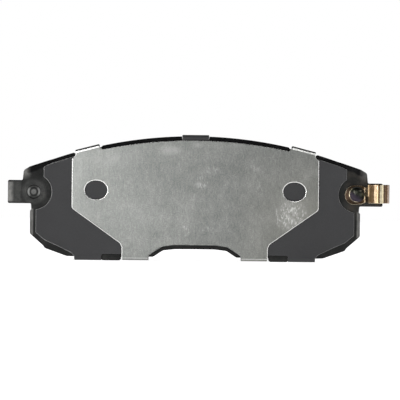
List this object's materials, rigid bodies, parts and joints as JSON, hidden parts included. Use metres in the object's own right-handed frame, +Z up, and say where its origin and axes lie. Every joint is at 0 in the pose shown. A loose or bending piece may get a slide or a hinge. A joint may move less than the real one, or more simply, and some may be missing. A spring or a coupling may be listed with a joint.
{
  "type": "disc brake pad",
  "caption": "Front disc brake pad: eared steel backing plate, slotted lining, two clip-on shims and a riveted spring wear indicator.",
  "frame": {"origin": "centre of the outer shim's caliper-side face, on the line of the two ears and the pad's middle", "axes": "+X along the pad towards the ear with the wear indicator, +Y from the caliper side to the rotor, +Z up, away from the wheel's axle; the pad stands on its feet"},
  "size_m": [0.145, 0.0198, 0.048],
  "materials": {
    "black_coating": "satin",
    "bond": "matte",
    "underlayer": "matte",
    "lining": "matte",
    "shim_steel": "satin",
    "shim_rubber": "matte",
    "stainless": "satin",
    "gold_chromate": "satin",
    "rivet_dark": "satin"
  },
  "bodies": {
    "pad": {"backing_plate": "black_coating", "adhesive_film": "bond", "underlayer": "underlayer", "friction_block": "lining", "wear_indicator": "gold_chromate", "wear_indicator_rivet": "rivet_dark"},
    "inner_shim": {"inner_shim_core": "shim_steel", "inner_shim_rear_rubber": "shim_rubber", "inner_shim_front_rubber": "shim_rubber"},
    "outer_shim": {"outer_shim": "stainless"}
  },
  "joints": [
    {"name": "inner_shim_lift", "type": "slide", "parent": "pad", "child": "inner_shim", "axis": [0, -1, 0], "range_m": [0, 0.02]},
    {"name": "outer_shim_lift", "type": "slide", "parent": "inner_shim", "child": "outer_shim", "axis": [0, -1, 0], "range_m": [0, 0.02]}
  ]
}
